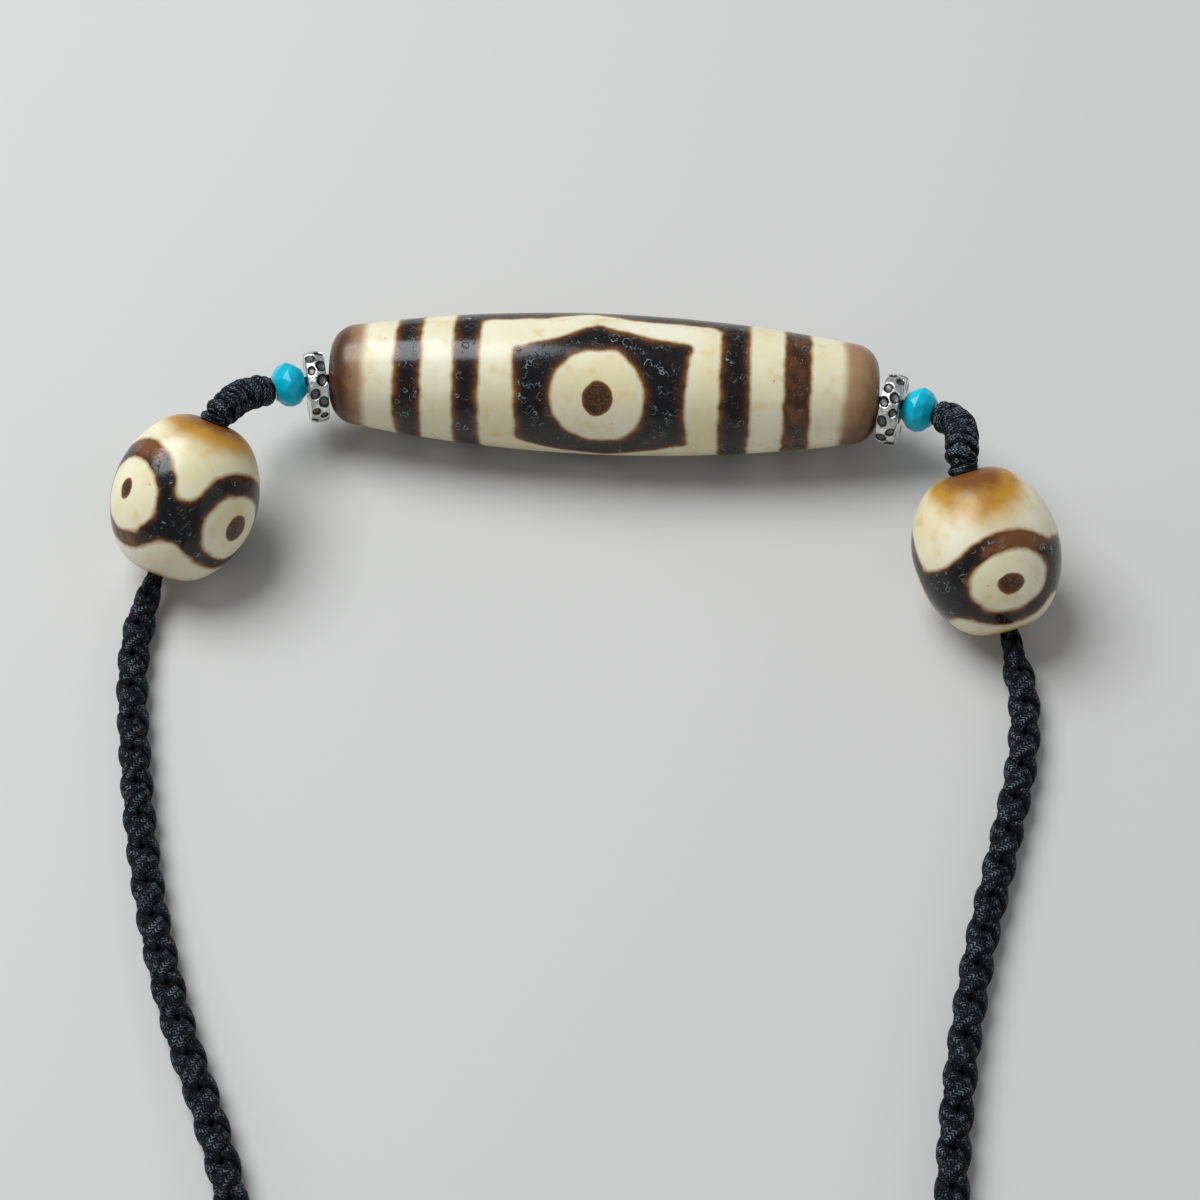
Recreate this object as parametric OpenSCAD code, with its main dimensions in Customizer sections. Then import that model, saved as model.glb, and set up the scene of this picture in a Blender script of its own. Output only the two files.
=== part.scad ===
// Dzi bead necklace, lying closed on a flat surface. Millimetres, +Z up, the long bead lies along X.
// The origin is on the surface, under the middle of the beads' box.

/* [Long bead] */
// Length of the long bead
long_len = 53.6; // [46:0.2:64]
// Diameter of the long bead at its middle
long_d = 13.8; // [12:0.1:16]
// Radius of the long, flat curve of its side
long_side_r = 150; // [110:5:260]
// Radius of its rounded ends
long_shoulder_r = 2.6; // [1.6:0.1:3.4]
// Diameter of its drilled hole
long_bore_d = 2.4; // [2.3:0.1:3.2]

/* [Round beads] */
// Length of a round bead along its hole
round_len = 15.4; // [14:0.2:17]
// Diameter of a round bead
round_d = 13.8; // [12:0.1:15]
// Radius of the curve of its side
round_side_r = 9.5; // [8.5:0.1:12]
// Radius of its rounded ends
round_shoulder_r = 4.5; // [3:0.1:5]
// Diameter of its drilled hole
round_bore_d = 2.4; // [2.2:0.1:2.8]
// Depth of the worn dish at each mouth of the hole
dish_depth = 0.5; // [0.3:0.05:0.8]
// Diameter of that dish
dish_d = 4; // [3.4:0.1:4.6]
// How far the hole slopes down towards the braided cord, in degrees
round_tilt = 36; // [30:1:40]

/* [Silver rings] */
// Outer diameter of a silver ring
ring_d = 7; // [6:0.1:8]
// Width of a silver ring along the thread
ring_w = 1.8; // [1.5:0.1:2.4]
// Diameter of its hole
ring_bore_d = 2.6; // [2.5:0.1:3.2]
// Radius of the slight crown of its rim
ring_crown_r = 2.6; // [2:0.1:4]
// Pits hammered round the rim in each of its two rows
ring_pits = 11; // [8:1:13]
// Radius of the punch that made a pit
pit_r = 0.55; // [0.4:0.05:0.7]
// Depth of a pit
pit_depth = 0.28; // [0.15:0.01:0.4]

/* [Turquoise beads] */
// Diameter of a turquoise bead across its widest corners
stone_d = 4.6; // [4:0.1:5.4]
// Thickness of a turquoise bead along the thread
stone_t = 3; // [2.6:0.1:3.8]
// Facets in each row round a turquoise bead
stone_facets = 10; // [8:1:12]
// Diameter of its hole
stone_bore_d = 1.4; // [1.3:0.05:1.6]

/* [Knotted sleeves] */
// Outer diameter of a knotted sleeve
sleeve_d = 3.3; // [2.8:0.1:3.6]
// Diameter of the hollow that the thread runs through
sleeve_bore_d = 1.5; // [1.3:0.1:1.8]
// Length of one rib, from knot to knot
rib_pitch = 1.75; // [1.4:0.05:2.2]
// How deep the grooves between the ribs are
rib_depth = 0.35; // [0.15:0.05:0.5]

/* [Cords] */
// Diameter of the thread through the beads
thread_d = 1; // [0.8:0.05:1.1]
// Diameter of the braided cord
cord_d = 3.2; // [2.6:0.1:3.4]
// Diameter of the braided cord where it goes into a round bead
cord_neck_d = 2; // [1.6:0.1:2]
// How deep its end reaches into the round bead
cord_reach = 1; // [0.6:0.1:1.6]
// Length of the closing knot
knot_len = 8; // [6:0.5:10]
// Diameter of the closing knot
knot_d = 5.6; // [5:0.1:6.4]
// Diameter of the hollow through the closing knot
knot_bore_d = 3.8; // [3.7:0.1:4.2]

/* [Gaps] */
// Gap between the long bead and a silver ring
ring_gap = 0.6; // [0.6:0.05:0.9]
// Gap between a silver ring and a turquoise bead
stone_gap = 0.35; // [0.35:0.05:0.7]
// Gap between a turquoise bead and a knotted sleeve
sleeve_gap = 0.2; // [0.2:0.05:0.4]
// Gap between a knotted sleeve and the mouth of a round bead's hole
mouth_gap = 0.45; // [0.45:0.05:0.8]
// Gap between the thread's end and the braided cord's end
thread_gap = 0.15; // [0.1:0.05:0.5]

/* [Hidden] */
$fn = 64;
LEFT = 0;
RIGHT = 1;
SIDES = [-1, 1];

// Columns: heading and climb of the ring's axis, then of the turquoise bead's axis. A heading
// turns from straight outward along X towards -Y, and all angles are in degrees.
AXES = [[14, 4, 22, 4], [14, 4, 22, 6]];
// Columns: heading and climb of the sleeve at its far end, its handles at both ends as shares
// of the sleeve's straight span, then the heading of the round bead's hole.
SLEEVES = [[52, -8, 0.34, 0.34, 66], [82, -27, 0.31, 0.3, 67]];
// How far each round bead's centre lies outward and towards -Y from the long bead's end.
ROUND_OFFSETS = [[12.2, 16.3], [10, 18.7]];
// Where the thread leaves the long bead's hole, off its axis along Y and Z.
THREAD_SAG = [-0.5, -0.2];
// Where a ring hangs on the thread, off the thread along Y and Z.
RING_SAG = [-0.4, -0.5];
// The rounding of the sleeve's ends, as shares of its radius at its last rings.
SLEEVE_END = [0.72, 0.92];

// The braided cord's route on the surface, from the long bead's middle. Columns: x, y, and how
// far the cord is lifted. It starts under the left round bead and ends under the right one.
CORD_ROUTE = [
    [-42.3, -25.2, 0.1], [-42.6, -29, 0], [-42.3, -33.5, 0], [-41.2, -40, 0], [-39.2, -49.5, 0],
    [-36.6, -59, 0], [-33.2, -68.5, 0], [-29.4, -77, 0], [-26.4, -85, 0], [-24.8, -93, 0],
    [-24.9, -101.5, 0], [-27, -110.5, 0], [-31, -120, 0], [-36.2, -130, 0], [-40.9, -141, 0],
    [-42.8, -153, 0], [-40.2, -165, 0], [-33, -175.8, 0], [-22.6, -183.2, 0], [-11.2, -187.4, 0.6],
    [-4, -188.6, 1.2], [3, -188.5, 1.2], [10.2, -187, 0.6], [21.6, -181.8, 0], [31.8, -172.6, 0],
    [38.8, -160, 0], [41.5, -146, 0], [40.4, -131.5, 0], [37.2, -117.5, 0], [34.2, -104, 0],
    [32.8, -91.5, 0], [33, -80, 0], [34, -69, 0], [35.8, -58, 0], [38.2, -47.5, 0],
    [40.2, -38, 0], [40.6, -31.5, 0], [40, -27.6, 0.1]];
// The two points of it that the closing knot lies between.
KNOT_ENDS = [20, 21];
ROUTE_STEPS = 2;
CORD_SIDES = 8;
THREAD_SIDES = 8;
SLEEVE_SIDES = 12;
SLEEVE_BEND_STEPS = 10;
RINGS_PER_RIB = 4;
FINE_STEPS = 16;
SPARE = 1;

// Profile of a bead from the side: the circle of its flat side and the circles of its ends touch.
function shoulder_x(len, d, side_r, end_r) =
    d / 2 - side_r + sqrt(pow(side_r - end_r, 2) - pow(len / 2 - end_r, 2));
function side_reach(len, side_r, end_r) = (len / 2 - end_r) * side_r / (side_r - end_r);
// How far a bead reaches from its centre, in a direction that leans from its waist towards its end.
function bead_reach(lean, len, d, side_r, end_r) =
    sin(lean) < (len / 2 - end_r) / (side_r - end_r)
    ? side_r - (side_r - d / 2) * cos(lean)
    : end_r + shoulder_x(len, d, side_r, end_r) * cos(lean) + (len / 2 - end_r) * sin(lean);

// Steps of a large circle of which only a short arc is used.
function fine(r) = max($fn, ceil(FINE_STEPS * r));
function unit(v) = v / norm(v);
function aim(side, heading, climb) = [
    SIDES[side] * cos(heading) * cos(climb), -sin(heading) * cos(climb), sin(climb)];
function bezier(a, b, c, d, t) =
    pow(1 - t, 3) * a + 3 * t * pow(1 - t, 2) * b + 3 * t * t * (1 - t) * c + pow(t, 3) * d;

// The thread, piece by piece, outward from the long bead's mouth.
function mouth(side) = [
    SIDES[side] * long_len / 2, THREAD_SAG[0], long_d / 2 + THREAD_SAG[1]];
function ring_axis(side) = aim(side, AXES[side][0], AXES[side][1]);
function ring_thread(side) = mouth(side) + ring_axis(side) * (ring_gap + ring_w / 2);
function ring_centre(side) = ring_thread(side) + [0, RING_SAG[0], RING_SAG[1]];
function ring_end(side) = mouth(side) + ring_axis(side) * (ring_gap + ring_w + stone_gap / 2);
function stone_axis(side) = aim(side, AXES[side][2], AXES[side][3]);
function stone_centre(side) = ring_end(side) + stone_axis(side) * (stone_gap / 2 + stone_t / 2);
function sleeve_start(side) =
    ring_end(side) + stone_axis(side) * (stone_gap / 2 + stone_t + sleeve_gap);
function round_axis(side) = aim(side, SLEEVES[side][4], -round_tilt);
function round_centre(side) = [
    SIDES[side] * (long_len / 2 + ROUND_OFFSETS[side][0]), -ROUND_OFFSETS[side][1],
    bead_reach(round_tilt, round_len, round_d, round_side_r, round_shoulder_r)];
function top_mouth(side) = round_centre(side) - round_axis(side) * round_len / 2;
function low_mouth(side) = round_centre(side) + round_axis(side) * round_len / 2;
function sleeve_end(side) = top_mouth(side) - round_axis(side) * mouth_gap;
function sleeve_span(side) = norm(sleeve_end(side) - sleeve_start(side));
function sleeve_at(side, t) = bezier(
    sleeve_start(side),
    sleeve_start(side) + stone_axis(side) * SLEEVES[side][2] * sleeve_span(side),
    sleeve_end(side) - aim(side, SLEEVES[side][0], SLEEVES[side][1])
        * SLEEVES[side][3] * sleeve_span(side),
    sleeve_end(side), t);
function thread_side(side) = concat(
    [mouth(side), ring_end(side)],
    [for (i = [0 : SLEEVE_BEND_STEPS]) sleeve_at(side, i / SLEEVE_BEND_STEPS)],
    [top_mouth(side) + round_axis(side) * dish_depth,
        low_mouth(side) - round_axis(side) * (cord_reach + thread_gap)]);
function backwards(list) = [for (i = [len(list) - 1 : -1 : 0]) list[i]];

// The braided cord's centre line: out of one bead, round the route, and into the other.
function cord_start(side) = [
    low_mouth(side) - round_axis(side) * cord_reach, low_mouth(side) + round_axis(side) * 0.9];
function cord_points() = concat(
    cord_start(LEFT),
    [for (p = CORD_ROUTE) [p[0], p[1], cord_d / 2 + p[2]]],
    backwards(cord_start(RIGHT)));
// A smooth curve through the points, in steps between each two.
function through(p, i, t) =
    let (a = p[max(i - 1, 0)], b = p[i], c = p[i + 1], d = p[min(i + 2, len(p) - 1)])
    0.5 * (2 * b + (c - a) * t + (2 * a - 5 * b + 4 * c - d) * t * t
        + (3 * b - a - 3 * c + d) * t * t * t);
function smooth_line(p, steps) = concat(
    [for (i = [0 : len(p) - 2]) for (k = [0 : steps - 1]) through(p, i, k / steps)],
    [p[len(p) - 1]]);
function cord_radius(i, last) =
    min(i, last - i) < 2 ? cord_neck_d / 2
    : min(i, last - i) == 2 ? (cord_neck_d + cord_d) / 4 : cord_d / 2;

// The origin, from the box of the beads without the cord.
function reach_along(side, k) =
    bead_reach(asin(abs(round_axis(side)[k])), round_len, round_d, round_side_r, round_shoulder_r);
origin_x = (round_centre(LEFT)[0] - reach_along(LEFT, 0)
    + round_centre(RIGHT)[0] + reach_along(RIGHT, 0)) / 2;
origin_y = (min([for (side = [LEFT, RIGHT]) round_centre(side)[1] - reach_along(side, 1)])
    + long_d / 2) / 2;

// A ring of points round a line, square to it.
function along(p, i) = unit(p[min(i + 1, len(p) - 1)] - p[max(i - 1, 0)]);
function ring_points(centre, way, r, sides) =
    let (across = unit(cross(way, [0, 0, 1])), above = cross(across, way))
    [for (k = [0 : sides - 1]) centre
        + r * (cos(360 * (k + 0.5) / sides) * across + sin(360 * (k + 0.5) / sides) * above)];

// A closed tube along a line, with a radius for each point of it.
module tube(line, radii, sides) {
    points = [for (i = [0 : len(line) - 1])
        each ring_points(line[i], along(line, i), radii[i], sides)];
    walls = [for (i = [0 : len(line) - 2]) for (k = [0 : sides - 1])
        let (a = i * sides + k, b = i * sides + (k + 1) % sides)
        each [[a, b, a + sides], [b, b + sides, a + sides]]];
    polyhedron(points, concat(
        [[for (k = [sides - 1 : -1 : 0]) k]], walls,
        [[for (k = [0 : sides - 1]) (len(line) - 1) * sides + k]]));
}

// The same with a hollow of one radius down its middle.
module hollow_tube(line, radii, inner_r, sides) {
    rings = len(line);
    points = concat(
        [for (i = [0 : rings - 1]) each ring_points(line[i], along(line, i), radii[i], sides)],
        [for (i = [0 : rings - 1]) each ring_points(line[i], along(line, i), inner_r, sides)]);
    inside = rings * sides;
    function wall(base, i, k, out) =
        let (a = base + i * sides + k, b = base + i * sides + (k + 1) % sides)
        out ? [[a, b, a + sides], [b, b + sides, a + sides]]
            : [[b, a, a + sides], [b + sides, b, a + sides]];
    function lip(i, k, first) =
        let (a = i * sides + k, b = i * sides + (k + 1) % sides)
        first ? [[b, a, inside + a], [b, inside + a, inside + b]]
            : [[a, b, inside + a], [b, inside + b, inside + a]];
    polyhedron(points, concat(
        [for (i = [0 : rings - 2]) for (k = [0 : sides - 1]) each wall(0, i, k, true)],
        [for (i = [0 : rings - 2]) for (k = [0 : sides - 1]) each wall(inside, i, k, false)],
        [for (k = [0 : sides - 1]) each lip(0, k, true)],
        [for (k = [0 : sides - 1]) each lip(rings - 1, k, false)]));
}

module placed(at, way) {
    translate([at[0] - origin_x, at[1] - origin_y, at[2]])
        rotate([0, acos(way[2]), atan2(way[1], way[0])]) children();
}

module laid() {
    translate([-origin_x, -origin_y, 0]) children();
}

// A turned bead with touching arcs for its side and ends, drilled along Z.
module turned_bead(len, d, side_r, end_r, bore_d) {
    x = shoulder_x(len, d, side_r, end_r);
    reach = side_reach(len, side_r, end_r);
    difference() {
        rotate_extrude() {
            intersection() {
                translate([d / 2 - side_r, 0]) circle(r = side_r, $fn = fine(side_r));
                translate([0, -reach]) square([d, 2 * reach]);
            }
            translate([0, -len / 2]) square([x, len]);
            for (end = [-1, 1]) intersection() {
                translate([x, end * (len / 2 - end_r)]) circle(r = end_r);
                translate([0, -len]) square([d, 2 * len]);
            }
        }
        cylinder(d = bore_d, h = len + 2 * SPARE, center = true);
    }
}

module round_bead(side) {
    color("ivory") placed(round_centre(side), round_axis(side)) difference() {
        turned_bead(round_len, round_d, round_side_r, round_shoulder_r, round_bore_d);
        for (end = [-1, 1]) rotate([90 - 90 * end, 0, 0]) translate([0, 0, round_len / 2 - dish_depth])
            cylinder(d1 = round_bore_d, d2 = dish_d, h = dish_depth + 0.001);
    }
}

module silver_ring(side) {
    row_z = ring_w / 4;
    color("silver") placed(ring_centre(side), ring_axis(side)) difference() {
        rotate_extrude() intersection() {
            translate([ring_bore_d / 2, -ring_w / 2]) square([(ring_d - ring_bore_d) / 2, ring_w]);
            translate([ring_d / 2 - ring_crown_r, 0]) circle(r = ring_crown_r);
        }
        for (row = [0, 1], k = [0 : ring_pits - 1])
            rotate([0, 0, 360 * (k + row / 2) / ring_pits])
                translate([ring_d / 2 + pit_r - pit_depth, 0, row_z * (2 * row - 1)]) sphere(r = pit_r);
    }
}

// A faceted bead: five rings of corners, each turned half a facet from the last.
module turquoise_bead(side) {
    // Columns: height as a share of half the thickness, radius as a share of half the diameter.
    rows = [[-1, 0.55], [-0.52, 0.86], [0, 1], [0.52, 0.86], [1, 0.55]];
    n = stone_facets;
    points = [for (i = [0 : len(rows) - 1]) for (k = [0 : n - 1])
        let (turn = 360 * (k + i / 2) / n, r = rows[i][1] * stone_d / 2)
        [r * cos(turn), r * sin(turn), rows[i][0] * stone_t / 2]];
    facets = [for (i = [0 : len(rows) - 2]) for (k = [0 : n - 1])
        let (a = i * n + k, b = i * n + (k + 1) % n, up = (i + 1) * n)
        each [[a, up + k, b], [b, up + k, up + (k + 1) % n]]];
    color("darkturquoise") placed(stone_centre(side), stone_axis(side)) difference() {
        polyhedron(points, concat(
            [[for (k = [0 : n - 1]) k]], facets,
            [[for (k = [n - 1 : -1 : 0]) (len(rows) - 1) * n + k]]));
        cylinder(d = stone_bore_d, h = stone_t + 2 * SPARE, center = true);
    }
}

module knotted_sleeve(side) {
    ribs = round(1.12 * sleeve_span(side) / rib_pitch);
    last = ribs * RINGS_PER_RIB;
    line = [for (i = [0 : last]) sleeve_at(side, i / last)];
    radii = [for (i = [0 : last])
        (sleeve_d / 2 - rib_depth * (1 - abs(sin(180 * i / RINGS_PER_RIB))))
        * (min(i, last - i) == 0 ? SLEEVE_END[0] : min(i, last - i) == 1 ? SLEEVE_END[1] : 1)];
    color("#22252c") laid() hollow_tube(line, radii, sleeve_bore_d / 2, SLEEVE_SIDES);
}

module long_dzi_bead() {
    color("ivory") placed([0, 0, long_d / 2], [1, 0, 0])
        turned_bead(long_len, long_d, long_side_r, long_shoulder_r, long_bore_d);
}

module left_silver_ring() { silver_ring(LEFT); }
module right_silver_ring() { silver_ring(RIGHT); }
module left_turquoise_bead() { turquoise_bead(LEFT); }
module right_turquoise_bead() { turquoise_bead(RIGHT); }
module left_knotted_sleeve() { knotted_sleeve(LEFT); }
module right_knotted_sleeve() { knotted_sleeve(RIGHT); }
module left_round_bead() { round_bead(LEFT); }
module right_round_bead() { round_bead(RIGHT); }

module bead_thread() {
    line = concat(backwards(thread_side(LEFT)), thread_side(RIGHT));
    color("#15171b") laid() tube(line, [for (p = line) thread_d / 2], THREAD_SIDES);
}

module braided_cord() {
    line = smooth_line(cord_points(), ROUTE_STEPS);
    last = len(line) - 1;
    color("#22252c") laid() tube(line, [for (i = [0 : last]) cord_radius(i, last)], CORD_SIDES);
}

// The hidden barrel knot that closes the loop, lying on the surface at the back.
module closing_knot() {
    a = CORD_ROUTE[KNOT_ENDS[0]];
    b = CORD_ROUTE[KNOT_ENDS[1]];
    color("#22252c") placed([(a[0] + b[0]) / 2, (a[1] + b[1]) / 2, knot_d / 2], unit([b[0] - a[0], b[1] - a[1], 0]))
        difference() {
            rotate_extrude() intersection() {
                translate([0, -knot_len / 2]) square([knot_d / 2, knot_len]);
                translate([knot_d / 2 - knot_len, 0]) circle(r = knot_len, $fn = fine(knot_len));
            }
            cylinder(d = knot_bore_d, h = knot_len + 2 * SPARE, center = true);
        }
}

long_dzi_bead();
left_silver_ring();
right_silver_ring();
left_turquoise_bead();
right_turquoise_bead();
left_knotted_sleeve();
right_knotted_sleeve();
left_round_bead();
right_round_bead();
bead_thread();
braided_cord();
closing_knot();
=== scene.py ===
# Dzi bead necklace laid on a pale floor: etched agate, hammered silver, turquoise and black nylon cord.
import math

import bpy
import numpy as np
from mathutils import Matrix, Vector


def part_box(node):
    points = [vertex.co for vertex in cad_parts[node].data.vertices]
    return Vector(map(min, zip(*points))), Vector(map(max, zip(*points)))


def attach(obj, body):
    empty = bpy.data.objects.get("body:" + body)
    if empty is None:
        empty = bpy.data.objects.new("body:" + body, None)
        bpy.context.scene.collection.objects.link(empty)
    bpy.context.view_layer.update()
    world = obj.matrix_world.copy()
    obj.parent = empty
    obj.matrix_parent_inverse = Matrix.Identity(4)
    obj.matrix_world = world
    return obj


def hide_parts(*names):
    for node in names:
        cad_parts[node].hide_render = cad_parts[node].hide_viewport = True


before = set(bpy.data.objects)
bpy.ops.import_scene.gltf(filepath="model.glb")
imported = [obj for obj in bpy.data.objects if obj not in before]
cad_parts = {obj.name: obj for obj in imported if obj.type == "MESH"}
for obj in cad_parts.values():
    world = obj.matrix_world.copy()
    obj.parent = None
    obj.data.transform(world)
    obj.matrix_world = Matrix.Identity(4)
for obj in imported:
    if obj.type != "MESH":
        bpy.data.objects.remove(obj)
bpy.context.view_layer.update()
mm = 0.001
upright = np.array([0, 0, 1.0])
print("frame loaded:", len(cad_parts), "nodes")


# Small helpers for directions, curves and surfaces. Lengths are in millimetres up to the mesh.
def unit(v):
    v = np.asarray(v, float)
    return v / np.linalg.norm(v, axis=-1, keepdims=True)


def smooth(x, low, high):
    # eased step from 0 at low to 1 at high
    k = np.clip((x - low) / (high - low), 0, 1)
    return k * k * (3 - 2 * k)


def softMax(a, b, width):
    # the larger of two distances, with their crease rounded over a width
    k = np.clip(0.5 + 0.5 * (a - b) / width, 0, 1)
    return b + (a - b) * k + width * k * (1 - k)


def nodeMiddle(name):
    low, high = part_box(name)
    return (np.array(low) + np.array(high)) / 2 / mm


def nodeSize(name):
    low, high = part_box(name)
    return (np.array(high) - np.array(low)) / mm


def aim(sign, heading, climb):
    # heading turns from straight outward along X towards -Y, climb is up; both in degrees
    h, c = math.radians(heading), math.radians(climb)
    return np.array([sign * math.cos(h) * math.cos(c), -math.sin(h) * math.cos(c), math.sin(c)])


def throughPoints(points, steps):
    # a curve through all points: each stretch is a cubic, its slopes from the points on both sides
    p = np.vstack([points[:1], points, points[-1:]])
    a, b, c, d = (p[k:len(p) - 3 + k, None, :] for k in range(4))
    t = (np.arange(steps) / steps)[None, :, None]
    curve = 0.5 * (2 * b + (c - a) * t + (2 * a - 5 * b + 4 * c - d) * t * t
                   + (3 * b - a - 3 * c + d) * t ** 3)
    return np.vstack([curve.reshape(-1, 3), points[-1:]])


def runAlong(line):
    # the distance run from the start of a line to each of its points
    return np.concatenate([[0], np.cumsum(np.linalg.norm(np.diff(line, axis=0), axis=1))])


def evenly(line, spacing):
    # the same line with its points a fixed distance apart, and the distance run at each
    run = runAlong(line)
    at = np.linspace(0, run[-1], max(2, int(round(run[-1] / spacing)) + 1))
    return np.stack([np.interp(at, run, line[:, k]) for k in range(3)], 1), at


def lineFrames(line):
    # along, sideways and upward direction at each point of a line that never stands upright
    along = unit(np.gradient(line, axis=0))
    side = unit(np.cross(along, upright))
    return along, side, np.cross(side, along)


def roundHole(axis):
    # upward and sideways direction at right angles to a drilled hole
    top = unit(upright - axis * axis[2])
    return top, np.cross(axis, top)


def onceRound(count):
    # evenly spaced angles, once round a circle
    return 2 * np.pi * np.arange(count) / count


def arc(x, y, radius, start, end, count):
    # part of a circle round (x, y), its angle turning from upright to sideways
    s = np.linspace(start, end, count)
    return np.stack([x + radius * np.sin(s), y + radius * np.cos(s)], 1)


def spoke(angle, first, second):
    # the direction at an angle that turns from a first direction to a second one
    return np.cos(angle)[..., None] * first + np.sin(angle)[..., None] * second


def wrapped(angle):
    # the same angle, between half a turn back and half a turn on
    return (angle + np.pi) % (2 * np.pi) - np.pi


def gridFaces(rows, columns, closeRows=False):
    # quads of a grid that closes round its columns, and round its rows too if asked
    i = np.arange(rows if closeRows else rows - 1)[:, None]
    j = np.arange(columns)[None, :]
    a, b = i * columns + j, i * columns + (j + 1) % columns
    up = ((i + 1) % rows) * columns
    return np.stack([a, b, up + (j + 1) % columns, up + j], -1).reshape(-1, 4)


def gridUv(rows, columns, run, closeRows=False):
    # u goes once round a strand, v is the distance run along it in millimetres
    i = np.arange(rows if closeRows else rows - 1)[:, None]
    j = np.arange(columns)[None, :]
    u0, u1, v0, v1 = np.broadcast_arrays(j / columns, (j + 1) / columns, run[i], run[(i + 1) % rows])
    return np.stack([u0, v0, u1, v0, u1, v1, u0, v1], -1).reshape(-1, 4, 2)


def outward(points, faces, uv):
    # signed volume of the closed mesh, as the sum of its corner tetrahedra
    a, b, c = points[faces[:, 0]], points[faces[:, 1]], points[faces[:, 2]]
    volume = np.einsum("ij,ij->", a, np.cross(b, c))
    if faces.shape[1] == 4:
        d = points[faces[:, 3]]
        volume += np.einsum("ij,ij->", a, np.cross(c, d))
    if volume < 0:
        return faces[:, ::-1], None if uv is None else uv[:, ::-1]
    return faces, uv


def newObject(name, data):
    made = bpy.data.objects.new(name, data)
    bpy.context.scene.collection.objects.link(made)
    return made


def makePiece(name, parts, node, material, attributes=None, flat=False):
    # parts are (points, faces, uv) in millimetres; they become one mesh that rides on the body
    allPoints, allFaces, allUv, start = [], [], [], 0
    for points, faces, uv in parts:
        faces, uv = outward(points, faces, uv)
        allPoints.append(points)
        allFaces += (faces + start).tolist()
        allUv.append(uv)
        start += len(points)
    mesh = bpy.data.meshes.new(name)
    mesh.from_pydata((np.vstack(allPoints) * mm).tolist(), [], allFaces)
    if allUv[0] is not None:
        mesh.uv_layers.new(name="strandUv").data.foreach_set(
            "uv", np.vstack(allUv).astype(np.float32).ravel())
    for key, values in (attributes or {}).items():
        mesh.attributes.new(key, "FLOAT", "POINT").data.foreach_set(
            "value", np.asarray(values, np.float32).ravel())
    mesh.polygons.foreach_set("use_smooth", [not flat] * len(mesh.polygons))
    mesh.materials.append(material)
    mesh.update()
    piece = newObject(name, mesh)
    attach(piece, "root")
    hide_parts(node)
    print(name, "made,", sum(len(f) - 2 for f in allFaces), "triangles")
    return piece


# Shader helpers. An input is a link if it is given a socket, and a plain value otherwise.
def feed(made, inputs):
    for key, value in inputs.items():
        if isinstance(value, bpy.types.NodeSocket):
            made.id_data.links.new(value, made.inputs[key])
        else:
            made.inputs[key].default_value = value
    return made


def put(tree, kind, inputs=None, **settings):
    made = tree.nodes.new("ShaderNode" + kind)
    for key, value in settings.items():
        setattr(made, key, value)
    return feed(made, inputs or {})


def nextNode(kind, inputs, **settings):
    # a node in the tree of the first socket that feeds it
    tree = next(value.id_data for value in inputs.values() if isinstance(value, bpy.types.NodeSocket))
    return put(tree, kind, inputs, **settings)


def sums(operation, *values, clamp=False):
    return nextNode("Math", dict(enumerate(values)), operation=operation, use_clamp=clamp).outputs[0]


def plus(a, b):
    return sums("ADD", a, b)


def minus(a, b):
    return sums("SUBTRACT", a, b)


def times(a, b):
    return sums("MULTIPLY", a, b)


def swing(value, share):
    # a noise value moved to swing about zero, and scaled
    return times(minus(value, 0.5), share)


def span(value, low, high, toLow=0.0, toHigh=1.0, eased=True):
    return nextNode("MapRange", {0: value, 1: low, 2: high, 3: toLow, 4: toHigh},
                    interpolation_type="SMOOTHSTEP" if eased else "LINEAR").outputs[0]


def blendColours(factor, a, b):
    return nextNode("Mix", {0: factor, 6: a, 7: b}, data_type="RGBA").outputs[2]


def ramp(factor, stops):
    made = nextNode("ValToRGB", {0: factor})
    elements = made.color_ramp.elements
    while len(elements) < len(stops):
        elements.new(0.5)
    for element, (place, colour) in zip(elements, stops):
        element.position = place
        element.color = colour
    return made.outputs[0]


def noise(vector, scale, detail=2.0, roughness=0.5):
    return nextNode("TexNoise", {"Vector": vector, "Scale": scale, "Detail": detail,
                                 "Roughness": roughness}).outputs[0]


def cells(vector, scale):
    return nextNode("TexVoronoi", {"Vector": vector, "Scale": scale, "Randomness": 1.0}).outputs


def scaled(vector, share):
    return nextNode("VectorMath", {0: vector, "Scale": share}, operation="SCALE").outputs[0]


def shifted(vector, by):
    return nextNode("VectorMath", {0: vector, 1: by}, operation="ADD").outputs[0]


def newGroup(name, inputs):
    # inputs are (name, kind) pairs, with kind Float, Color or Vector
    group = bpy.data.node_groups.new(name, "ShaderNodeTree")
    outputs = [("Color", "Color"), ("Roughness", "Float"), ("Height", "Float")]
    for way, sockets in (("INPUT", inputs), ("OUTPUT", outputs)):
        for label, kind in sockets:
            group.interface.new_socket(name=label, in_out=way, socket_type="NodeSocket" + kind)
    return group, group.nodes.new("NodeGroupInput").outputs, group.nodes.new("NodeGroupOutput")


def newMaterial(name):
    material = bpy.data.materials.new(name)
    material.use_nodes = True
    tree = material.node_tree
    tree.nodes.clear()
    shader = put(tree, "BsdfPrincipled")
    put(tree, "OutputMaterial", {0: shader.outputs[0]})
    return material, tree, shader


def inMillimetres(tree):
    return scaled(put(tree, "TexCoord").outputs["Object"], 1 / mm)


def attribute(tree, key):
    return put(tree, "Attribute", attribute_type="GEOMETRY", attribute_name=key).outputs["Fac"]


def addBump(shader, height, strength, distance):
    bump = nextNode("Bump", {"Strength": strength, "Distance": distance * mm, "Height": height})
    feed(shader, {"Normal": bump.outputs[0]})


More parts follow.
